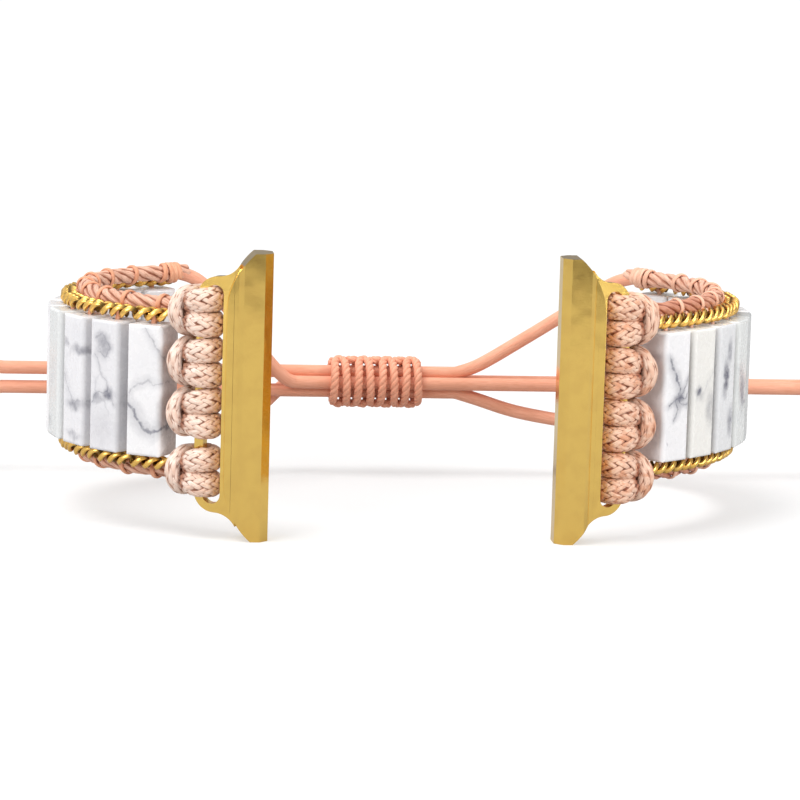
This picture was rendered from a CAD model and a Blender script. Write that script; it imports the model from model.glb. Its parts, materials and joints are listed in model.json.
"""Looks of a beaded watch band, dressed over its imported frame.

Shapes are worked out in the frame's own axes: X across the watch, Y from its face to the closure,
Z up. Lengths are in millimetres and angles in degrees, where nothing else is said. Pieces are made
in metres at the end.
"""

import json
import math

import bpy
import numpy as np
from mathutils import Matrix


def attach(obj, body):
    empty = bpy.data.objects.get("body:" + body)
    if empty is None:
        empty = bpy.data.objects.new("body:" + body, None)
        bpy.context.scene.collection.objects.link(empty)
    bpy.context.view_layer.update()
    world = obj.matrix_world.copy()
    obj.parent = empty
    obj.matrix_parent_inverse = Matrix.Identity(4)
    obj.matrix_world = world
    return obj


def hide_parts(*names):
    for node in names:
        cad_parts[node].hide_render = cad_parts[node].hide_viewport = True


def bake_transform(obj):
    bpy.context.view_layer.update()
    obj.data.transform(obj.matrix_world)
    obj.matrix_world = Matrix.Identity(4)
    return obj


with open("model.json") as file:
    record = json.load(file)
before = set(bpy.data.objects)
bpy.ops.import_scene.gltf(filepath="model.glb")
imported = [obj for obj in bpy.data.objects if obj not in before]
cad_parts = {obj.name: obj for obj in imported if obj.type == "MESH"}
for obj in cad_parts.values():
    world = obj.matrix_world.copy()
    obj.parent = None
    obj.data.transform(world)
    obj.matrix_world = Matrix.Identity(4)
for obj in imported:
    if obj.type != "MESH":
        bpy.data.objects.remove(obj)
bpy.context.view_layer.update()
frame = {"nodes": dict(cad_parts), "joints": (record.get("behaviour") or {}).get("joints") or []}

MM = 0.001
SIDES = {"left": -1, "right": 1}
EDGES = {"upper": 1, "lower": -1}
UP = np.array([0.0, 0.0, 1.0])
BEADS = 9

# Camera, solved from the edges of the watch case in the photograph. It looks at the target, which
# shows at the target's pixel.
PICTURE = 800
TARGET = np.array([0, -6.2, 0])
TARGET_PIXEL = (419.7, 406.3)
DISTANCE = 450
PIXELS_PER_MM = 8.608
ELEVATION = 8.65
YAW = -6.43
ROLL = 1.7
SENSOR = 36

# Sizes of the frame's pieces. The beads' middles lie outwards of the line of hinges by their inset,
# and the bar's place is across and back.
BEAD_LENGTH = 15.6
BEAD_INSET = 2.3
SIDE_CORD_RADIUS = 1.0
CORD_Z = BEAD_LENGTH / 2 + 2.05
BAR = (24.9, 2.0)
KNOT_HEIGHTS = {
    "left": (9.75, 3.75, -2.25, -9.2),
    "right": (9.5, 3.2, -3.1, -9.4),
}
KNOT_TALL = {"left": 1.02, "right": 1.07}
FLOOR_Z = -17.0

# The closure's cords: their thickness, how far each lies from the sliding knot's middle, where they
# end across the watch, and how far apart their ends splay, over what length
KNOT_CENTRE = np.array([0, 46.8, -4.95])
TAIL_CORD = 1.7
TAIL_SPREAD = TAIL_CORD / math.sqrt(2) + 0.05
TAIL_END = {"left": 62, "right": -54}
TAIL_SPLAY = 0.85
SPLAY_LENGTH = 6
END_KNOT_SIZE = 0.62
END_KNOT_HALF = 0.8
# Where a cord is straight, where its two parts meet, and the knot's face, from the knot's middle
STRAIGHT_FROM = 10.5
PAST_MIDDLE = 3
# The sliding knot: its half knots and their step, its cord, and how far each strand sweeps round
HALF_KNOTS = 8
HALF_KNOT_STEP = 1.55
KNOT_CORD = 1.1
STRAND_SWEEP = 72
# Where each cord runs between the last bead and the sliding knot
ROUTES = {
    ("left", "upper"): ((-23.4, 40.2, 8.6), (-19, 42.2, 4.4), (-14.6, 43.9, -1.4), (-12, 44.7, -4.2)),
    ("left", "lower"): (
        (-23.5, 40.6, -9.9), (-19.3, 43.6, -9.6), (-15.4, 46.9, -8.8), (-12.2, 48.9, -6.3)),
    ("right", "upper"): ((29.9, 43.4, 8.6), (25, 45.6, 4.8), (18.5, 46.8, 0.4), (13.5, 46.8, -2.6)),
    ("right", "lower"): ((29.9, 43.4, -9.9), (25, 45.4, -9.6), (18.5, 46.6, -8.6), (13.5, 46.8, -7.1)),
}


# Vectors and lines

def unit(v):
    v = np.asarray(v, float)
    return v / np.linalg.norm(v, axis=-1, keepdims=True)


def tangents(line):
    return unit(np.gradient(line, axis=0))


def squared(normal, line):
    """The normals, each turned square to the line."""
    t = tangents(line)
    normal = np.broadcast_to(normal, line.shape)
    return unit(normal - (normal * t).sum(1, keepdims=True) * t)


def carried(line, start):
    """Normals carried along the line without twisting, from the one given at its start."""
    found = []
    last = np.asarray(start, float)
    for t in tangents(line):
        last = unit(last - (last @ t) * t)
        found.append(last)
    return np.array(found)


def distances(line):
    steps = np.linalg.norm(np.diff(line, axis=0), axis=1)
    return np.concatenate([[0], np.cumsum(steps)])


def length_of(line):
    return distances(line)[-1]


def evenly(line, step):
    """The line again, with points about a step apart."""
    at = distances(line)
    count = max(2, int(round(at[-1] / step)) + 1)
    new = np.linspace(0, at[-1], count)
    return np.stack([np.interp(new, at, line[:, k]) for k in range(line.shape[1])], 1)


def bezier(a, b, c, count=40):
    t = np.linspace(0, 1, count)[:, None]
    return (1 - t) ** 2 * a + 2 * t * (1 - t) * b + t ** 2 * c


def smoothed(points, steps):
    """A smooth line through the points. Any number of columns goes with each point."""
    p = np.asarray(points, float)
    found = []
    for i in range(len(p) - 1):
        a, b, c, d = p[max(i - 1, 0)], p[i], p[i + 1], p[min(i + 2, len(p) - 1)]
        for j in range(steps):
            t = j / steps
            slope = (c - a) * t
            bow = (2 * a - 5 * b + 4 * c - d) * t ** 2
            twist = (3 * b - a - 3 * c + d) * t ** 3
            found.append(b + (slope + bow + twist) / 2)
    found.append(p[-1])
    return np.array(found)


# Shapes

# The rings of a blunt tip, outwards from the end: how far past the last ring, in half thicknesses
# of that ring, and how large beside it
TIPS = ((0.27, 0.75), (0.4275, 0.3))


class Shape:
    """Vertices, faces and lay coordinates of one piece, gathered tube by tube."""

    def __init__(self):
        self.points = []
        self.faces = []
        self.lay = []
        self.deep = []
        self.count = 0

    def tube(self, line, normal, wide, thin, sides=8, lay_start=0.0, flat_at=None, rounded=True,
             deep=0.0):
        """A tube along the line. Its half widths are wide, and thin along the normal. Deep, from 0
        to 1, is how far each of its rings lies below the surface that it is woven in."""
        wide, thin, deep = (np.broadcast_to(v, len(line)).astype(float) for v in (wide, thin, deep))
        along = distances(line) + lay_start
        across = np.cross(tangents(line), normal)
        if rounded:
            deep = np.pad(deep, len(TIPS), mode="edge")
            rounds = round_ends(line, normal, across, wide, thin, along)
            line, normal, across, wide, thin, along = rounds
        angle = np.arange(sides) * 2 * np.pi / sides
        sideways = wide[:, None] * np.cos(angle)
        high = thin[:, None] * np.sin(angle)
        if flat_at is not None:
            high = np.minimum(high, flat_at)
        ring = line[:, None] + sideways[..., None] * across[:, None] + high[..., None] * normal[:, None]
        self.points.append(ring.reshape(-1, 3))
        self.deep.append(np.repeat(deep, sides))
        girth = np.pi * (wide.mean() + thin.mean())
        self.add_wall(along, sides, girth)
        self.add_caps(along, sides, girth)
        self.count += len(line) * sides

    def add_wall(self, along, sides, girth):
        """The faces between the rings, and how far along and round the tube their corners lie."""
        j = np.arange(sides)
        k = (j + 1) % sides
        i = np.arange(len(along) - 1)[:, None] * sides + self.count
        quads = np.stack([i + j, i + k, i + k + sides, i + j + sides], -1)
        self.faces.extend(quads.reshape(-1, 4).tolist())
        u0, v0 = np.broadcast_arrays(along[:-1, None], j / sides * girth)
        u1, v1 = np.broadcast_arrays(along[1:, None], (j + 1) / sides * girth)
        corners = [np.stack(corner, -1) for corner in ((u0, v0), (u0, v1), (u1, v1), (u1, v0))]
        self.lay.append(np.stack(corners, 2).reshape(-1, 2))

    def add_caps(self, along, sides, girth):
        """The faces that close both ends."""
        j = np.arange(sides)
        for ring, order in ((0, -1), (len(along) - 1, 1)):
            cap = self.count + ring * sides + j
            self.faces.append(cap[::order].tolist())
            self.lay.append(np.stack([np.full(sides, along[ring]), j / sides * girth], 1))

    def made(self, name, material):
        mesh = bpy.data.meshes.new(name)
        mesh.from_pydata((np.concatenate(self.points) * MM).tolist(), [], self.faces)
        layer = mesh.uv_layers.new(name="Lay")
        layer.uv.foreach_set("vector", np.concatenate(self.lay).astype(np.float32).ravel())
        depth = mesh.attributes.new("Deep", "FLOAT", "POINT")
        depth.data.foreach_set("value", np.concatenate(self.deep).astype(np.float32))
        mesh.shade_smooth()
        mesh.materials.append(material)
        made = bpy.data.objects.new(name, mesh)
        bpy.context.scene.collection.objects.link(made)
        return made


def round_ends(line, normal, across, wide, thin, along):
    """Shrinking rings past both ends of a tube, so that it closes as a blunt tip."""
    first, last = tangents(line)[[0, -1]]
    for reach, scale in TIPS:
        before = line[:1] - reach * thin[0] * first
        after = line[-1:] + reach * thin[-1] * last
        line = np.concatenate([before, line, after])
        along = np.pad(along, 1, mode="edge")
        normal, across = (np.pad(v, ((1, 1), (0, 0)), mode="edge") for v in (normal, across))
        wide, thin = (np.concatenate([scale * v[:1], v, scale * v[-1:]]) for v in (wide, thin))
    return line, normal, across, wide, thin, along


# A braid: yarns each way, their half widths, how far each rises over the others, the step between
# its rings, and how far the dark places reach from its ends
CARRIERS = 12
YARN = (0.34, 0.16)
YARN_LIFT = 0.10
BRAID_STEP = 0.15
SHADED_END = 0.8


def braid(shape, line, normal, wide, thin, rate, phase):
    """A tubular braid on a flattened section: as many yarns wind one way as the other, and each
    passes over two and under two. The rate is how far they wind at each point, in turns per mm."""
    together = np.column_stack([line, normal, wide, thin, rate])
    together = evenly(together, BRAID_STEP * length_of(together) / length_of(line))
    line = together[:, :3]
    normal = squared(together[:, 3:6], line)
    wide, thin = (together[:, k] - YARN[1] - YARN_LIFT for k in (6, 7))
    section = (line, normal, np.cross(tangents(line), normal), wide, thin)
    along = distances(line)
    wound = 2 * np.pi * np.cumsum(together[:, 8] * np.gradient(along))
    shaded = np.clip(1.4 - np.minimum(along, along[-1] - along) / SHADED_END, 0, 1)
    for way, start in ((1, 0.5), (-1, 2.5)):
        for k in range(CARRIERS):
            add_yarn(shape, section, wound, shaded, k, way, start, phase)
    shape.tube(line, normal, wide - 0.05, thin - 0.05, sides=16, deep=1.0)


def add_yarn(shape, section, wound, shaded, k, way, start, phase):
    """Yarn k of those that wind one way. Each strays and swells a little in its own way."""
    line, normal, across, wide, thin = section
    stray = 0.07 * np.sin(1.3 * wound + 2.1 * k + way) + 0.05 * np.sin(3.7 * wound + 5 * k)
    swell = 1 + 0.14 * np.sin(2.9 * wound + 3.3 * k) + 0.08 * np.sin(7.1 * wound + k)
    a = way * wound + 2 * np.pi * k / CARRIERS + phase + stray
    c, d = np.cos(a)[:, None], np.sin(a)[:, None]
    out = unit(c / wide[:, None] * across + d / thin[:, None] * normal)
    at = line + wide[:, None] * c * across + thin[:, None] * d * normal
    crossings = wound * CARRIERS / np.pi
    over = np.clip(1.5 * np.cos(np.pi / 2 * (2 * k + way * crossings - start)), -1, 1)
    at = at + (YARN_LIFT * over)[:, None] * out
    deep = np.maximum(0.5 - 0.5 * over, shaded)
    shape.tube(at, squared(out, at), YARN[0] * swell * (1.04 - 0.22 * deep), YARN[1] * swell,
               lay_start=7.3 * k + 31 * way, deep=deep)


def rope(shape, line, start, radius, plies, ply, lay, phase=0.0, lumps=0.0):
    """Plies twisted round the line, one turn in each lay. Gives the phase at the end."""
    normal = carried(line, start)
    across = np.cross(tangents(line), normal)
    s = distances(line) * 2 * np.pi / lay + phase
    for k in range(plies):
        a = s + 2 * np.pi * k / plies
        out = np.cos(a)[:, None] * normal + np.sin(a)[:, None] * across
        at = line + (radius - ply) * out
        swell = 1 + lumps * np.sin(3.1 * s + 1.7 * k) + 0.6 * lumps * np.sin(7.3 * s + 4.1 * k)
        shape.tube(at, squared(out, at), 1.04 * ply * swell, ply * swell, sides=10, lay_start=13.7 * k)
    return s[-1]


# The line of hinges, from the frame's joints

def hinge_points(side):
    """Where the links of one half turn, from the knots' hinge to the closure's, in millimetres."""
    found = {j["name"]: j for j in frame["joints"]}
    names = ["knot_hinge_%s" % side] + ["bead_hinge_%s_%d" % (side, k) for k in range(1, BEADS + 1)]
    return [np.array(found[name]["pos_m"]) / MM for name in names]


HINGES = {side: hinge_points(side) for side in SIDES}


def middle(side, i):
    """The middle of link i, from 1, on the line of hinges."""
    return (HINGES[side][i - 1] + HINGES[side][i]) / 2


def axes(side, i):
    """Along the band to the right as seen from outside, inwards to the wrist, and up."""
    away = unit(HINGES[side][i] - HINGES[side][i - 1]) * SIDES[side]
    return away, np.cross(UP, away), UP


def in_link(side, i, local):
    """Points given as along, inwards and up from the middle of link i."""
    return middle(side, i) + np.asarray(local, float) @ np.array(axes(side, i))


def body_of_link(side, i):
    if i == 0:
        return "knots_" + side
    return "closure_" + side if i > BEADS else "link_%s_%d" % (side, i)


# Materials

class Tree:
    """Short ways to add and join the nodes of one tree."""

    def __init__(self, tree):
        self.tree = tree

    def add(self, kind, inputs=None, **settings):
        node = self.tree.nodes.new(kind)
        for key, value in settings.items():
            setattr(node, key, value)
        for key, value in (inputs or {}).items():
            self.put(value, node.inputs[key])
        return node

    def put(self, value, socket):
        if isinstance(value, bpy.types.NodeSocket):
            self.tree.links.new(value, socket)
        else:
            socket.default_value = value

    def math(self, operation, a, b=0.0, clamp=False):
        return self.add("ShaderNodeMath", {0: a, 1: b}, operation=operation, use_clamp=clamp).outputs[0]

    def ranged(self, value, low, high, out_low=0.0, out_high=1.0):
        inputs = {"Value": value, "From Min": low, "From Max": high}
        inputs.update({"To Min": out_low, "To Max": out_high})
        return self.add("ShaderNodeMapRange", inputs, interpolation_type="SMOOTHSTEP").outputs[0]


class Look(Tree):
    """The nodes of one material."""

    def __init__(self, name):
        self.material = bpy.data.materials.new(name)
        self.material.use_nodes = True
        super().__init__(self.material.node_tree)
        self.surface = self.tree.nodes["Principled BSDF"]

    def set(self, **values):
        for key, value in values.items():
            self.put(value, self.surface.inputs[key.replace("_", " ")])

    def mixed(self, share, a, b, way="MIX"):
        inputs = {"Factor": share, 6: a, 7: b}
        return self.add("ShaderNodeMix", inputs, data_type="RGBA", blend_type=way).outputs[2]

    def noise(self, vector, scale, detail=3.0, rough=0.5, output="Fac"):
        inputs = {"Vector": vector, "Scale": scale, "Detail": detail, "Roughness": rough}
        return self.add("ShaderNodeTexNoise", inputs).outputs[output]

    def scaled(self, vector, scale, offset=(0, 0, 0)):
        inputs = {"Vector": vector, "Scale": scale, "Location": offset}
        return self.add("ShaderNodeMapping", inputs).outputs[0]

    def place(self, offset=(0, 0, 0)):
        """The place in the piece's own space, in millimetres."""
        where = self.add("ShaderNodeTexCoord").outputs["Object"]
        return self.scaled(where, (1 / MM,) * 3, offset)

    def parts(self, vector):
        return self.add("ShaderNodeSeparateXYZ", {0: vector}).outputs

    def vector(self, operation, a, b=(0, 0, 0), output="Vector"):
        return self.add("ShaderNodeVectorMath", {0: a, 1: b}, operation=operation).outputs[output]

    def times(self, vector, number):
        inputs = {0: vector, "Scale": number}
        return self.add("ShaderNodeVectorMath", inputs, operation="SCALE").outputs[0]

    def far_from_line(self, at, points):
        """How far the place is from a broken line. Its points are along and up."""
        found = None
        for a, b in zip(points, points[1:]):
            run = np.array([b[0] - a[0], 0, b[1] - a[1]])
            from_a = self.vector("SUBTRACT", at, (a[0], 0, a[1]))
            share = self.vector("DOT_PRODUCT", from_a, tuple(run / (run @ run)), "Value")
            foot = self.times(tuple(run), self.math("ADD", share, 0.0, clamp=True))
            far = self.vector("DISTANCE", from_a, foot, "Value")
            found = far if found is None else self.math("MINIMUM", found, far)
        return found

    def lay(self):
        """Millimetres along a tube and round it."""
        return self.add("ShaderNodeUVMap", uv_map="Lay").outputs[0]

    def depth(self):
        """How far the place lies below the surface that it is woven in, from 0 to 1."""
        return self.add("ShaderNodeAttribute", attribute_name="Deep").outputs["Fac"]

    def bump(self, height, depth, strength=1.0):
        inputs = {"Height": height, "Distance": depth * MM, "Strength": strength}
        self.put(self.add("ShaderNodeBump", inputs).outputs[0], self.surface.inputs["Normal"])


def bead_place(n, side, i):
    """The place in bead i's own axes, in millimetres: along the band, nought, and up."""
    away, inwards, up = axes(side, i)
    centre = middle(side, i) - BEAD_INSET * inwards
    place = n.vector("SUBTRACT", n.place(), tuple(centre))
    along = n.vector("DOT_PRODUCT", place, tuple(away), "Value")
    height = n.vector("DOT_PRODUCT", place, tuple(up), "Value")
    return n.add("ShaderNodeCombineXYZ", {0: along, 2: height}).outputs[0]


STONE_GREY = (0.52, 0.53, 0.57, 1)
STONE_DARK = (0.13, 0.13, 0.17, 1)


def stone(side, i, tint=(0.79, 0.78, 0.79), clouds=0.6, crackle=0.55, veins=(), smudges=()):
    """White stone: soft grey clouds, a faint crackle, and the veins and smudges that one bead has."""
    n = Look("stone_%s_%d" % (side, i))
    rng = np.random.default_rng(100 * (1 + SIDES[side]) + i)
    at = n.place(tuple(rng.uniform(-60, 60, 3)))
    grain = n.noise(at, 1.5, 4, 0.6)
    wobble = n.vector("SUBTRACT", n.noise(at, 0.55, 3, 0.6, "Color"), (0.5, 0.5, 0.5))
    local = n.vector("ADD", bead_place(n, side, i), n.vector("MULTIPLY", wobble, (1.6, 0.0, 1.6)))
    colour = stone_ground(n, at, tint, clouds, crackle)
    for smudge in smudges:
        colour = n.mixed(smudge_share(n, local, grain, *smudge), colour, STONE_DARK)
    for vein in veins:
        colour = n.mixed(vein_share(n, local, grain, *vein), colour, STONE_DARK)
    rough = n.ranged(n.noise(at, 1.1, 3), 0.3, 0.7, 0.22, 0.32)
    n.set(Base_Color=colour, Roughness=rough, IOR=1.5, Subsurface_Weight=0.15, Subsurface_Scale=0.0014,
          Subsurface_Radius=(1.0, 0.95, 0.9))
    n.bump(n.noise(at, 0.9, 2), 0.006, 0.5)
    return n.material


def stone_ground(n, at, tint, clouds, crackle):
    """The stone's colour under its marks. Clouds and crackle say how strong each of them is."""
    swirl = n.noise(at, 0.22, 4, 0.6, "Color")
    bent = n.vector("ADD", at, n.vector("MULTIPLY", swirl, (6.0, 6.0, 6.0)))
    cloud = n.ranged(n.noise(bent, 0.13, 4, 0.55), 0.46, 0.74)
    colour = n.mixed(n.math("MULTIPLY", cloud, clouds, True), tint + (1,), STONE_GREY)
    inputs = {"Vector": bent, "Scale": 0.16}
    edge = n.add("ShaderNodeTexVoronoi", inputs, feature="DISTANCE_TO_EDGE").outputs[0]
    where = n.ranged(n.noise(at, 0.14, 2), 0.48, 0.66)
    line = n.math("MULTIPLY", n.ranged(edge, 0.0, 0.05, 1, 0), where)
    return n.mixed(n.math("MULTIPLY", line, crackle, True), colour, STONE_DARK)


def smudge_share(n, local, grain, centre, sizes, strength):
    """How dark a smudge is at each place. Its centre and half sizes are along and up."""
    place = n.vector("SUBTRACT", local, (centre[0], 0, centre[1]))
    place = n.vector("MULTIPLY", place, (1 / sizes[0], 0, 1 / sizes[1]))
    share = n.ranged(n.vector("LENGTH", place, output="Value"), 0.1, 1.0, 1, 0)
    share = n.math("MULTIPLY", share, n.ranged(grain, 0.25, 0.7, 0.5, 1.0))
    return n.math("MULTIPLY", share, 1.3 * strength, True)


def vein_share(n, local, grain, points, width, strength):
    """How dark a vein is at each place: a grainy core in a faint halo."""
    far = n.far_from_line(local, points)
    core = n.ranged(far, 0.2 * width, 1.5 * width, 1, 0)
    core = n.math("MULTIPLY", core, n.ranged(grain, 0.25, 0.6, 0.5, 1.0))
    halo = n.ranged(far, 0.0, 6 * width, 0.4, 0)
    return n.math("MULTIPLY", n.math("MAXIMUM", core, halo), strength, True)


# The marks of the beads that the photo shows, in millimetres along the band to the right and up. A
# vein is its points, width and strength. A smudge is its centre, half sizes and strength.
STONES = {
    ("left", 1): dict(clouds=0.12, crackle=0.0, veins=(
        (((-1.9, -1.8), (-0.9, -3.3), (0.3, -4.5), (1.3, -4.9), (2.4, -4.2)), 0.3, 0.8),
        (((-1.8, -0.4), (-1.0, 0.8), (0.5, 1.3), (2.1, 1.0)), 0.16, 0.45),
        (((0.1, 7.5), (0.7, 6.2), (1.6, 5.4), (2.2, 4.2)), 0.16, 0.5)), smudges=(
        ((2.3, -1.5), (0.8, 2.6), 0.18),)),
    ("left", 2): dict(tint=(0.72, 0.71, 0.73), clouds=0.3, crackle=0.2, veins=(
        (((-1.6, 3.6), (-0.5, 2.2), (0.6, 0.6), (1.0, -1.4)), 0.1, 0.5),
        (((-2.0, -2.3), (-0.7, -0.6), (0.9, -0.4), (1.9, -2.0)), 0.12, 0.5),
        (((-1.2, 5.8), (0.2, 6.1), (0.9, 4.6), (0.2, 3.4), (-1.0, 3.9)), 0.16, 0.45)), smudges=(
        ((0.0, 5.0), (1.9, 2.2), 0.5), ((0.9, -0.9), (1.6, 1.1), 0.7), ((-0.9, -1.6), (1.2, 0.8), 0.45),
        ((0, -5.0), (3.5, 3.6), 0.14))),
    ("left", 3): dict(tint=(0.75, 0.74, 0.76), clouds=0.2, crackle=0.1, veins=(
        (((-1.7, 0.6), (-0.9, -1.2), (0.3, -2.5), (2.2, -2.4)), 0.2, 0.35),), smudges=(
        ((1.5, 3.8), (2.4, 1.0), 0.6), ((0.6, -3.0), (2.6, 1.1), 0.6), ((0.6, -6.6), (2.4, 0.8), 0.4),
        ((-1.6, 4.4), (1.4, 0.7), 0.4))),
    ("left", 4): dict(tint=(0.70, 0.71, 0.71), clouds=0.3, crackle=0.1, smudges=(
        ((-1.5, -6.0), (1.5, 1.6), 0.25),)),
    ("right", 1): dict(clouds=0.08, crackle=0.0, veins=(
        (((-1.7, 4.8), (-0.7, 3.1), (0.1, 1.2), (0.4, 0.1)), 0.2, 0.9),
        (((0.4, 0.1), (1.2, 1.0), (2.2, 2.3)), 0.14, 0.75),
        (((0.4, 0.1), (1.4, -0.2), (2.3, 0.6)), 0.13, 0.7),
        (((0.4, 0.1), (-0.6, -0.6), (-1.6, -1.1)), 0.16, 0.75),
        (((0.3, -0.2), (1.1, -1.2), (2.2, -1.0)), 0.14, 0.7),
        (((-0.2, -0.4), (0.3, -1.6), (-0.6, -2.6)), 0.13, 0.7)), smudges=(
        ((0.6, -0.6), (2.2, 1.8), 0.22), ((-1.6, -5.7), (0.25, 0.3), 0.5))),
    ("right", 2): dict(tint=(0.77, 0.755, 0.72), clouds=0.12, crackle=0.0, veins=(
        (((1.9, 2.4), (0.7, 1.5), (0.2, 0.2)), 0.14, 0.3),), smudges=(
        ((-1.2, 0.4), (0.9, 1.0), 1.0), ((1.4, -2.0), (1.3, 3.4), 0.4),
        ((-0.6, -0.5), (1.2, 1.0), 0.3))),
    ("right", 3): dict(tint=(0.70, 0.70, 0.71), clouds=0.15, crackle=0.0, smudges=(
        ((-0.4, 1.4), (1.2, 3.2), 1.0), ((1.2, -4.2), (1.1, 2.8), 0.6), ((0.6, 4.5), (1.1, 2.2), 0.6))),
    ("right", 4): dict(tint=(0.70, 0.71, 0.70), clouds=0.25, crackle=0.0, veins=(
        (((-1.0, 1.6), (-0.8, -0.6), (0.6, -2.6), (1.6, -2.4)), 0.3, 0.7),), smudges=(
        ((0.3, -0.6), (1.6, 2.6), 0.6),)),
    ("right", 5): dict(tint=(0.52, 0.53, 0.53), clouds=0.3, crackle=0.0),
}


CREVICE = (0.42, 0.20, 0.12, 1)


def cord_stuff(name, light, dark, deep, fibre, rough=0.52, shade=None, girth=None, bump=0.05,
               gloss=0.35):
    """Waxed thread: fine fibres along the lay, a slow drift of colour, and darker crevices. The girth
    is a yarn's, in millimetres, where its flanks are to be darker than its crown."""
    n = Look(name)
    lay = n.lay()
    streaks = n.noise(n.scaled(lay, (fibre[0], fibre[1], 1)), 1.0, 5, 0.65)
    drift = n.noise(n.place(), 0.35, 3)
    colour = n.mixed(n.ranged(streaks, 0.30, 0.62), dark + (1,), light + (1,))
    colour = n.mixed(n.ranged(drift, 0.45, 0.75, 0, 0.45), colour, deep + (1,))
    by_yarn = n.noise(n.scaled(lay, (0.21, 0, 0)), 1.0, 1)
    colour = n.mixed(n.ranged(by_yarn, 0.38, 0.66, 0.0, 0.42), colour, dark + (1,))
    if girth is not None:
        colour = n.mixed(flank_share(n, lay, girth), colour, CREVICE, "MULTIPLY")
        colour = n.mixed(n.ranged(n.depth(), 0.35, 1.0, 0, 0.9), colour, CREVICE, "MULTIPLY")
    if shade is not None:
        colour = shade(n, colour)
    n.set(Base_Color=colour, Sheen_Weight=0.06, Sheen_Roughness=0.4, IOR=1.46, Specular_IOR_Level=gloss,
          Roughness=n.ranged(streaks, 0.3, 0.7, rough + 0.08, rough - 0.08))
    n.bump(streaks, bump, 0.9)
    return n.material


def flank_share(n, lay, girth):
    """Nought on a yarn's crown and one on its flanks, from the place round it."""
    around = n.math("MULTIPLY", n.parts(lay)[1], 2 * math.pi / girth)
    sideways = n.math("ABSOLUTE", n.math("COSINE", around))
    return n.ranged(sideways, 0.62, 1.0, 0, 0.85)


def browned(n, colour):
    """The side cord is brown by the watch on the right, and salmon everywhere else."""
    where = n.parts(n.place())
    near = n.ranged(where[1], 10, 26, 1, 0)
    right = n.ranged(where[0], -5, 5, 0.12, 0.85)
    return n.mixed(n.math("MULTIPLY", near, right), colour, (0.72, 0.50, 0.42, 1), "MULTIPLY")


def oranged(n, colour):
    """The sewing thread is more orange on the left."""
    left = n.ranged(n.parts(n.place())[0], -5, 5, 1, 0.1)
    return n.mixed(left, colour, (0.93, 0.74, 0.62, 1), "MULTIPLY")


def reddened(n, colour):
    """The knots are a little redder on the side by the case, and on the right, where they also have
    orange patches."""
    where = n.parts(n.place())[0]
    inner = n.ranged(n.math("ABSOLUTE", where), 22.4, 27.5, 0.75, 0)
    right = n.ranged(where, -5, 5, 0.0, 0.8)
    share = n.math("MAXIMUM", inner, n.math("ADD", right, n.math("MULTIPLY", inner, 0.6)), True)
    colour = n.mixed(share, colour, (0.94, 0.78, 0.67, 1), "MULTIPLY")
    patches = n.ranged(n.noise(n.place(), 0.75, 3), 0.47, 0.62, 0, 0.9)
    return n.mixed(n.math("MULTIPLY", patches, right), colour, (0.84, 0.58, 0.43, 1), "MULTIPLY")


def gold_stuff(name, colour, rough, grimy=False, crown=0.0):
    """Polished yellow plating with fine scratches, and a little waviness. Grimy gold is dark in its
    deep places. The crown rounds its long faces a little: they fall off, in millimetres, by the crown
    times the square of the height."""
    n = Look(name)
    at = n.place()
    scratch = n.noise(n.scaled(at, (2.0, 2.0, 26.0)), 1.0, 3, 0.7)
    redder = n.ranged(n.noise(at, 0.5, 2), 0.4, 0.7, 0, 0.25)
    tone = n.mixed(redder, colour + (1,), (0.74, 0.46, 0.13, 1))
    if grimy:
        tone = n.mixed(n.math("MULTIPLY", n.depth(), 0.92), tone, (0.12, 0.07, 0.02, 1))
    n.set(Base_Color=tone, Metallic=1.0,
          Roughness=n.ranged(scratch, 0.3, 0.75, rough - 0.04, rough + 0.1))
    waves = n.math("ADD", n.math("MULTIPLY", n.noise(at, 0.07, 1), 3.5), n.noise(at, 0.35, 1))
    relief = n.math("ADD", n.math("MULTIPLY", waves, 0.05), n.math("MULTIPLY", scratch, 0.0025))
    height = n.parts(at)[2]
    fall = n.math("MULTIPLY", n.math("MULTIPLY", height, height), -crown)
    n.bump(n.math("ADD", relief, fall), 1.0, 0.8)
    return n.material


def steel_stuff():
    n = Look("steel")
    brushed = n.noise(n.scaled(n.place(), (1.5, 1.5, 30.0)), 1.0, 3)
    n.set(Base_Color=n.mixed(brushed, (0.52, 0.52, 0.51, 1), (0.68, 0.67, 0.65, 1)), Metallic=1.0,
          Roughness=n.ranged(brushed, 0.3, 0.7, 0.24, 0.40))
    n.bump(brushed, 0.008, 0.5)
    return n.material


PLY = 0.42
PLY_GIRTH = math.pi * 2.04 * PLY
YARN_GIRTH = math.pi * sum(YARN)

peach = cord_stuff(
    "knot_braid", light=(1.0, 0.88, 0.79), dark=(0.74, 0.44, 0.31), deep=(0.93, 0.70, 0.57),
    fibre=(1.1, 20.0), rough=0.40, shade=reddened, girth=YARN_GIRTH, bump=0.10, gloss=0.6)
wrap_peach = cord_stuff(
    "wrap_thread", light=(0.92, 0.60, 0.45), dark=(0.74, 0.38, 0.25), deep=(0.86, 0.50, 0.36),
    fibre=(0.8, 9), shade=oranged)
side_salmon = cord_stuff(
    "side_cord", light=(0.90, 0.58, 0.44), dark=(0.58, 0.27, 0.17), deep=(0.78, 0.42, 0.29),
    fibre=(0.9, 7), shade=browned, girth=PLY_GIRTH)
tail_salmon = cord_stuff(
    "closure_cord", light=(0.93, 0.45, 0.30), dark=(0.80, 0.34, 0.21), deep=(0.86, 0.38, 0.25),
    fibre=(0.5, 7))
gold = gold_stuff("gold", (0.95, 0.64, 0.17), 0.10, crown=0.0022)
chain_gold = gold_stuff("chain_gold", (1.0, 0.62, 0.16), 0.27, grimy=True)
steel = steel_stuff()


# Camera, floor and light

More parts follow.
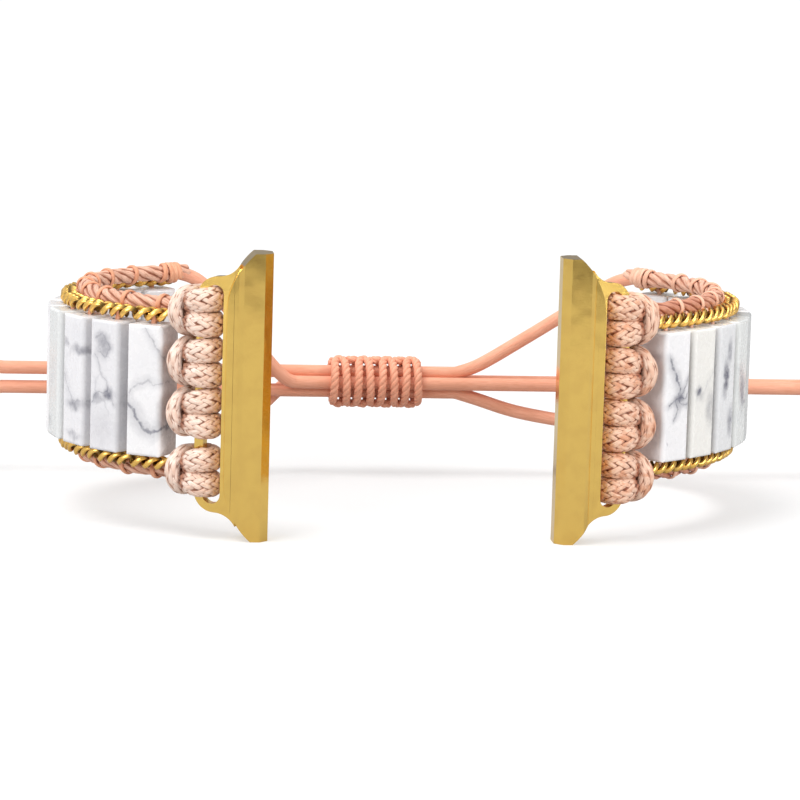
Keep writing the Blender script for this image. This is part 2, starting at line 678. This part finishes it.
def make_camera():
    el, yaw, roll = (math.radians(a) for a in (ELEVATION, YAW, ROLL))
    back = np.array([math.sin(yaw) * math.cos(el), -math.cos(yaw) * math.cos(el), math.sin(el)])
    level = unit(np.cross(-back, UP))
    upright = np.cross(level, -back)
    right = level * math.cos(roll) + upright * math.sin(roll)
    up = upright * math.cos(roll) - level * math.sin(roll)
    data = bpy.data.cameras.new("camera")
    data.sensor_width = SENSOR
    data.lens = PIXELS_PER_MM * DISTANCE * SENSOR / PICTURE
    data.shift_x = (PICTURE / 2 - TARGET_PIXEL[0]) / PICTURE
    data.shift_y = (TARGET_PIXEL[1] - PICTURE / 2) / PICTURE
    data.clip_start = 0.01
    data.clip_end = 20
    camera = bpy.data.objects.new("camera", data)
    turn = Matrix(np.column_stack([right, up, back]).tolist()).to_4x4()
    turn.translation = (TARGET + back * DISTANCE) * MM
    camera.matrix_world = turn
    bpy.context.scene.collection.objects.link(camera)
    bpy.context.scene.camera = camera


FLOOR_HALF = 3.0
FLOOR_GREY = 0.46
FLOOR_GLOW = 0.46


def make_floor():
    """A floor that looks white to the camera, whatever light falls on it, and carries the shadow."""
    mesh = bpy.data.meshes.new("floor")
    signs = ((-1, -1), (1, -1), (1, 1), (-1, 1))
    corners = [(x * FLOOR_HALF, y * FLOOR_HALF, (FLOOR_Z - 0.02) * MM) for x, y in signs]
    mesh.from_pydata(corners, [], [(0, 1, 2, 3)])
    n = Look("floor")
    direct = n.add("ShaderNodeLightPath").outputs["Is Camera Ray"]
    n.set(Base_Color=(FLOOR_GREY,) * 3 + (1,), Roughness=0.9, Specular_IOR_Level=0.1,
          Emission_Color=(1, 1, 1, 1), Emission_Strength=n.math("MULTIPLY", direct, FLOOR_GLOW))
    mesh.materials.append(n.material)
    floor = bpy.data.objects.new("floor", mesh)
    bpy.context.scene.collection.objects.link(floor)


SKY_LOW = 0.16
SKY_HIGH = 0.92
SKY_SLANT = -0.35
LAMPS_AIM = (0, 0.02, 0)


def add_light(name, kind, away, strength):
    """A light that shines from the given direction."""
    data = bpy.data.lights.new(name, kind)
    data.energy = strength
    light = bpy.data.objects.new(name, data)
    light.rotation_mode = "QUATERNION"
    light.rotation_quaternion = Matrix(look_axes(away)).to_quaternion()
    bpy.context.scene.collection.objects.link(light)
    return light


def make_lamp(name, at, size, power):
    """A square lamp turned towards the middle of the band. Its place and size are in metres."""
    lamp = add_light(name, "AREA", np.array(at) - np.array(LAMPS_AIM), power)
    lamp.location = at
    lamp.data.size = size


def make_sun(name, away, strength, spread):
    sun = add_light(name, "SUN", away, strength)
    sun.data.angle = math.radians(spread)


def look_axes(away):
    z = unit(away)
    x = unit(np.cross(UP, z))
    y = np.cross(z, x)
    return np.column_stack([x, y, z]).tolist()


def make_sky():
    """A sky that is white to the camera. It lights the band from above, more on the left, and gives
    the metal something darker to reflect near the horizon."""
    world = bpy.data.worlds.new("world")
    bpy.context.scene.world = world
    world.use_nodes = True
    n = Tree(world.node_tree)
    direction = n.add("ShaderNodeTexCoord").outputs["Generated"]
    parts = n.add("ShaderNodeSeparateXYZ", {0: direction}).outputs
    height = n.math("ADD", parts[2], n.math("MULTIPLY", parts[0], SKY_SLANT))
    sky = n.ranged(height, -0.2, 0.75, SKY_LOW, SKY_HIGH)
    direct = n.add("ShaderNodeLightPath").outputs["Is Camera Ray"]
    background = world.node_tree.nodes["Background"]
    n.put((1, 1, 1, 1), background.inputs["Color"])
    n.put(n.math("MAXIMUM", sky, direct), background.inputs["Strength"])


def make_light():
    """The sky, a soft sun from above, and two lamps in front that light the sides of the band."""
    make_sky()
    make_sun("key", (-0.35, -0.10, 1.0), 1.4, 28)
    make_lamp("front_left", (-0.45, -0.45, 0.22), 0.30, 1.75)
    make_lamp("front_right", (0.50, -0.35, 0.16), 0.22, 2.2)


make_camera()
make_floor()
make_light()


# Knots

# A strand round the bar: its half widths, its braid's turns per mm, and at each angle from outwards
# how far away from the bar's middle it is, its height and its half widths
STRAND = (1.45, 0.93)
STRAND_RATE = 0.080
STRAND_STATIONS = (
    (-18, 1.9, 1.0, (1.2, 0.86)),
    (-48, 1.76, 1.22, (1.34, 0.92)),
    (-80, 1.76, 1.42, STRAND),
    (-120, 1.76, 1.47, STRAND),
    (-160, 1.76, 1.47, STRAND),
    (-205, 1.76, 1.47, STRAND),
    (-245, 1.76, 1.5, STRAND),
    (-285, 1.76, 1.62, (1.3, 0.9)),
)
# The collar: its half widths, its braid's turns per mm, its middle outwards and back from the bar,
# how it leans in degrees, and how far it reaches out and up from its middle
COLLAR = (0.98, 0.84)
COLLAR_RATE = 0.042
COLLAR_MIDDLE = (1.45, 0.8)
COLLAR_LEAN = -38
COLLAR_REACH = 2.35
COLLAR_RISE = 2.02
# From one half of a knot to the other, in the columns of its places
KNOT_MIRROR = np.array([1, 1, -1, 1, 1, -1, 1, 1, 1])


def strand_places():
    """A strand from under the collar, over the bar's front, through the slot and back."""
    found = []
    for angle, away, z, sizes in STRAND_STATIONS:
        a = math.radians(angle)
        out, back = math.cos(a), math.sin(a)
        found.append((away * out, away * back, z, out, back, 0.0) + sizes + (STRAND_RATE,))
    return found


def collar_places():
    """The collar from a strand's end to its own outermost point."""
    lean = math.radians(COLLAR_LEAN)
    normal = (-math.sin(lean), math.cos(lean), 0.0)
    found = []
    for angle in (78, 50, 22, 0):
        a = math.radians(angle)
        out = COLLAR_REACH * math.cos(a)
        place = (COLLAR_MIDDLE[0] + out * math.cos(lean), COLLAR_MIDDLE[1] + out * math.sin(lean),
                 COLLAR_RISE * math.sin(a))
        found.append(place + normal + COLLAR + (COLLAR_RATE,))
    return found


def knot_places():
    """One knot round its bar, as outwards, back and up from the bar, each point with its normal,
    half widths and turns of braid per mm: one strand, the collar, and the other strand."""
    half = np.array(strand_places() + collar_places())
    return np.concatenate([half, half[-2::-1] * KNOT_MIRROR])


def knot_points(side, z, turned):
    """The knot's line in the frame, for a knot at height z. Turned ones start from the other strand."""
    sign = SIDES[side]
    tall = KNOT_TALL[side]
    rows = smoothed(knot_places(), 6)
    if turned:
        rows = rows * KNOT_MIRROR
    line = np.column_stack([sign * (BAR[0] + rows[:, 0]), BAR[1] + rows[:, 1], z + tall * rows[:, 2]])
    normal = np.column_stack([sign * rows[:, 3], rows[:, 4], rows[:, 5]])
    return line, squared(normal, line), rows[:, 6] * tall, rows[:, 7], rows[:, 8]


def make_knots(side):
    rng = np.random.default_rng(11 + SIDES[side])
    for k, z in enumerate(KNOT_HEIGHTS[side], start=1):
        shape = Shape()
        line, normal, wide, thin, rate = knot_points(side, z, k % 2 == 0)
        braid(shape, line, normal, wide, thin, rate, rng.uniform(0, 6.28))
        knot = shape.made("knot_%s_%d_braid" % (side, k), peach)
        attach(knot, "knots_" + side)
        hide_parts("knot_%s_%d" % (side, k))
        if k in (2, 3):
            make_stubs(side, k, z)


def make_stubs(side, k, z):
    """The short tails of an inner knot, cut off behind the bar."""
    sign = SIDES[side]
    shape = Shape()
    for w in (-0.75, 0.75):
        places = [(2.35, -0.2, w), (2.9, 0.8, w), (2.3, 2.2, 1.1 * w), (1.1, 3.3, 1.2 * w)]
        rows = smoothed(places, 8)
        line = np.column_stack([sign * (BAR[0] + rows[:, 0]), BAR[1] + rows[:, 1], z + rows[:, 2]])
        rope(shape, evenly(line, 0.2), UP, radius=0.72, plies=2, ply=0.42, lay=5.0)
    tails = shape.made("knot_%s_%d_tails" % (side, k), side_salmon)
    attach(tails, "knots_" + side)


# Side cords, chain and thread

# Where the side cord leaves its knot, as outwards and back from the bar
UNDER_COLLAR = (2.3, -0.3)
PAST_COLLAR = (3.1, 1.5)
# How far from a hinge the side cord bends, and how far it goes on past the last hinge
BEND_REACH = 1.3
SIDE_CORD_LAY = 11.0
SIDE_CORD_PHASE = {"upper": 0.4, "lower": 1.9}


def cord_line(side, edge, k):
    """The side cord's line over hinge k, from the middle of one link to the middle of the next."""
    z = np.array([0, 0, EDGES[edge] * CORD_Z])
    hinge = HINGES[side][k]
    if k == 0:
        sign = SIDES[side]
        places = (UNDER_COLLAR, PAST_COLLAR)
        start = [(sign * (BAR[0] + out), BAR[1] + back, 0) for out, back in places]
        rows = smoothed(np.vstack([start, hinge, middle(side, 1)]), 12)
        return evenly(rows + z, 0.2)
    start = middle(side, k)
    if k == BEADS:
        end = hinge + unit(hinge - HINGES[side][k - 1]) * BEND_REACH
        return evenly(np.array([start, hinge, end]) + z, 0.2)
    return evenly(bezier(start, hinge, middle(side, k + 1)) + z, 0.2)


def make_side_cords(side):
    for edge in EDGES:
        phase = SIDE_CORD_PHASE[edge]
        for k in range(BEADS + 1):
            shape = Shape()
            line = cord_line(side, edge, k)
            phase = rope(shape, line, UP, radius=SIDE_CORD_RADIUS, plies=5, ply=PLY,
                         lay=SIDE_CORD_LAY, phase=phase, lumps=0.12)
            name = "side_cord_%s_%s_%d" % (side, edge, k)
            piece = shape.made(name, side_salmon)
            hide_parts(*["edge_%s_%d" % (side, i) for i in (k, k + 1) if 1 <= i <= BEADS])
            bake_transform(piece)


# The chain: half its wire's thickness, its place inwards from the beads' middles and up from their
# ends, and a link's half length, half width and twist
CHAIN_WIRE = 0.28
CHAIN_INWARDS = 0.3
CHAIN_UP = 1.02
LINK_LONG = 1.5
LINK_WIDE = 1.16
LINK_TWIST = 64
LINKS_PER_BEAD = 3
LINK_TURN = np.linspace(0, 2 * np.pi, 41)
# A link is dark at its ends, which lie in its neighbours
LINK_DEEP = np.clip((np.abs(np.cos(LINK_TURN)) - 0.62) / 0.25, 0, 1)


def chain_link():
    """One curb link lying flat on the beads' ends, twisted along its length, as along, inwards, up."""
    long, wide = LINK_LONG - CHAIN_WIRE, LINK_WIDE - CHAIN_WIRE
    twist = -math.radians(LINK_TWIST) * np.cos(LINK_TURN)
    along = long * np.cos(LINK_TURN)
    sideways = wide * np.sin(LINK_TURN)
    return np.column_stack([along, sideways * np.cos(twist), 1.15 * sideways * np.sin(twist)])


def make_chain(side, i):
    """The chain beside bead i at both its ends."""
    step = np.linalg.norm(HINGES[side][i] - HINGES[side][i - 1]) / LINKS_PER_BEAD
    shape = Shape()
    for sign in EDGES.values():
        height = sign * (BEAD_LENGTH / 2 + CHAIN_UP)
        for j in range(LINKS_PER_BEAD):
            along = (j - (LINKS_PER_BEAD - 1) / 2) * step
            line = in_link(side, i, chain_link() + (along, CHAIN_INWARDS - BEAD_INSET, height))
            outwards = squared(line - line.mean(0), line)
            shape.tube(line, outwards, 1.15 * CHAIN_WIRE, CHAIN_WIRE, sides=12,
                       flat_at=0.7 * CHAIN_WIRE, rounded=False, deep=LINK_DEEP)
    piece = shape.made("chain_%s_%d" % (side, i), chain_gold)
    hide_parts("edge_%s_%d" % (side, i))
    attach(piece, body_of_link(side, i))


# The thread's half widths, and how far its middle lies from the side cord's where it is sewn round it
WRAP = (0.33, 0.17)
WRAP_RADIUS = 0.93 + WRAP[1]
WRAP_POINTS = 14
# The whipping: its turns, how far along the last link it starts, and how far a turn takes it
WHIP_TURNS = 2.6
WHIP_START = 0.75
WHIP_PITCH = 0.58


def wrap_places(seed):
    """The thread's line at one end of a bead: out of the hole, through the chain, round the cord
    and back to the hole. Along, inwards, and up from the bead's middle."""
    rng = np.random.default_rng(seed)
    end = BEAD_LENGTH / 2
    shift = rng.uniform(-0.25, 0.25)
    inside = (0.0, -BEAD_INSET, end - 0.6)
    start = [inside, (0.02, -BEAD_INSET, end + 0.2), (-0.1, -BEAD_INSET + 0.2, end + 0.75)]
    turns = []
    for share in np.linspace(0, 1, WRAP_POINTS):
        a = math.radians(-32 + 372 * share)
        r = WRAP_RADIUS + 0.03 * math.sin(3 * a + seed)
        turns.append((-0.42 + 0.9 * share + shift, -r * math.cos(a), CORD_Z + r * math.sin(a)))
    back = [(0.35 + shift, -1.75, end + 0.85), (0.1, -BEAD_INSET, end + 0.2), inside]
    return np.array(start + turns + back)


def lay_thread(shape, side, i, places, cord_z, step):
    """Thread along places in bead i's link, with its flat side to the side cord at height cord_z."""
    core = places * np.array([1, 0, 0]) + np.array([0, 0, cord_z])
    together = evenly(np.column_stack([in_link(side, i, places), in_link(side, i, core)]), step)
    line = together[:, :3]
    shape.tube(line, squared(line - together[:, 3:], line), WRAP[0], WRAP[1], sides=10)


def make_thread(side, i):
    """The sewing thread of bead i, wrapped once round each side cord."""
    shape = Shape()
    for sign in EDGES.values():
        places = smoothed(wrap_places(17 * i + 5 * SIDES[side] + sign), 6) * np.array([1, 1, sign])
        lay_thread(shape, side, i, places, sign * CORD_Z, 0.2)
    piece = shape.made("thread_%s_%d" % (side, i), wrap_peach)
    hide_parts("edge_%s_%d" % (side, i))
    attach(piece, body_of_link(side, i))


def make_whipping(side):
    """Turns of thread over the end of each side cord, beside the last bead."""
    shape = Shape()
    turns = np.linspace(0, WHIP_TURNS, 90)
    a = 2 * np.pi * turns
    r = SIDE_CORD_RADIUS + WRAP[1]
    along = SIDES[side] * (WHIP_START + WHIP_PITCH * turns)
    for sign in EDGES.values():
        places = np.column_stack([along, -r * np.cos(a), sign * CORD_Z + r * np.sin(a)])
        lay_thread(shape, side, BEADS, places, sign * CORD_Z, 0.4)
    piece = shape.made("whipping_%s" % side, wrap_peach)
    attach(piece, body_of_link(side, BEADS))


# Closure

def closure_lines(side, edge):
    """A cord's line in two parts: to a place hidden in the sliding knot, and on to its end."""
    z = EDGES[edge] * CORD_Z
    sign = SIDES[side]
    away = -EDGES[edge] * TAIL_SPREAD
    offset = np.array([0, away, 0]) if side == "left" else np.array([0, 0, -away])
    centre = KNOT_CENTRE + offset
    start = HINGES[side][BEADS] + np.array([0, 0, z])
    straight = centre + np.array([sign * STRAIGHT_FROM, 0, 0])
    bend = smoothed(np.vstack([start, ROUTES[side, edge], straight]), 8)
    hidden = centre - np.array([sign * PAST_MIDDLE, 0, 0])
    near = np.vstack([bend, hidden])
    end = centre + np.array([TAIL_END[side], 0, 0])
    bend_at = end + np.array([sign * SPLAY_LENGTH, 0, 0])
    splayed = end + unit(offset) * TAIL_SPLAY
    far = np.array([hidden, bend_at, splayed])
    return evenly(near, 0.4), evenly(far, 0.5)


def make_cord(side, edge):
    near, far = closure_lines(side, edge)
    sign = SIDES[side]
    for part, line, face in (("near", near, sign), ("tail", far, -sign)):
        shape = Shape()
        shape.tube(line, carried(line, UP), TAIL_CORD / 2, TAIL_CORD / 2, sides=20)
        piece = shape.made("closure_cord_%s_%s_%s" % (side, edge, part), tail_salmon)
        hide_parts("cord_%s_%s" % (side, edge))
        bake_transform(piece)
        pieces_on = [make_end_knot(side, edge, line[-1])] if part == "tail" else []


def make_end_knot(side, edge, at):
    """An overhand knot at the cord's end, with the cut end past it."""
    way = -SIDES[side]
    t = np.linspace(0.18 * np.pi, 1.82 * np.pi, 90)
    trefoil = [-1.5 * np.sin(3 * t), np.sin(t) + 2 * np.sin(2 * t), np.cos(t) - 2 * np.cos(2 * t)]
    loop = END_KNOT_SIZE * np.column_stack(trefoil)
    shape = Shape()
    line = evenly(np.array(at) + loop * np.array([way, 1, 1]), 0.2)
    end = evenly(np.array([at, at + np.array([way * 4.2, 0.3, -0.5])]), 0.3)
    for part in (line, end):
        shape.tube(part, carried(part, UP), END_KNOT_HALF, END_KNOT_HALF, sides=16)
    knot = shape.made("end_knot_%s_%s" % (side, edge), tail_salmon)
    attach(knot, "closure_" + side)
    return knot


def knot_strand(way, ring):
    """One strand of the sliding knot round the four cords, at the given distance from their middle."""
    places = []
    for k in range(HALF_KNOTS):
        side = way * (1 if k % 2 == 0 else -1)
        x = (k - (HALF_KNOTS - 1) / 2) * HALF_KNOT_STEP
        for share in np.linspace(-1, 1, 7):
            a = math.radians(side * share * STRAND_SWEEP)
            places.append((x + 0.12 * share, -way * ring * math.cos(a), ring * math.sin(a)))
        if k < HALF_KNOTS - 1:
            for share in (0.25, 0.5, 0.75):
                a = math.radians(side * (STRAND_SWEEP + 24 * math.sin(math.pi * share)))
                r = ring + 0.22 * math.sin(math.pi * share)
                places.append((x + share * HALF_KNOT_STEP, -way * r * math.cos(a), r * math.sin(a)))
    return smoothed(places, 4)


def make_sliding_knot():
    """Square knots tied round the four cords: one strand works in front and one behind."""
    ring = TAIL_SPREAD + TAIL_CORD / 2 + KNOT_CORD / 2
    shape = Shape()
    for way in (1, -1):
        line = evenly(knot_strand(way, ring) + KNOT_CENTRE, 0.15)
        rope(shape, line, (1, 0, 0), radius=KNOT_CORD / 2, plies=3, ply=0.31, lay=2.4)
    knot = shape.made("sliding_knot_strands", tail_salmon)
    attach(knot, "sliding_knot")
    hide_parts("sliding_knot")


# The frame's own pieces that stay

def dress(node, material):
    slots = frame["nodes"][node].data.materials
    for i in range(max(1, len(slots))):
        if slots:
            slots[i] = material
        else:
            slots.append(material)


def dress_frame():
    for side in SIDES:
        for i in range(1, BEADS + 1):
            name = "bead_%s_%d" % (side, i)
            dress(name, stone(side, i, **STONES.get((side, i), {})))
        for node in ("tongue", "slot_loop"):
            dress("%s_%s" % (node, side), gold)
        for node in ("latch", "latch_spring"):
            dress("%s_%s" % (node, side), steel)


for side in SIDES:
    for edge in EDGES:
        make_cord(side, edge)
make_sliding_knot()
for side in SIDES:
    make_knots(side)
    make_side_cords(side)
    make_whipping(side)
    for i in range(1, BEADS + 1):
        make_chain(side, i)
        make_thread(side, i)
dress_frame()

bpy.context.scene.view_settings.view_transform = "Standard"
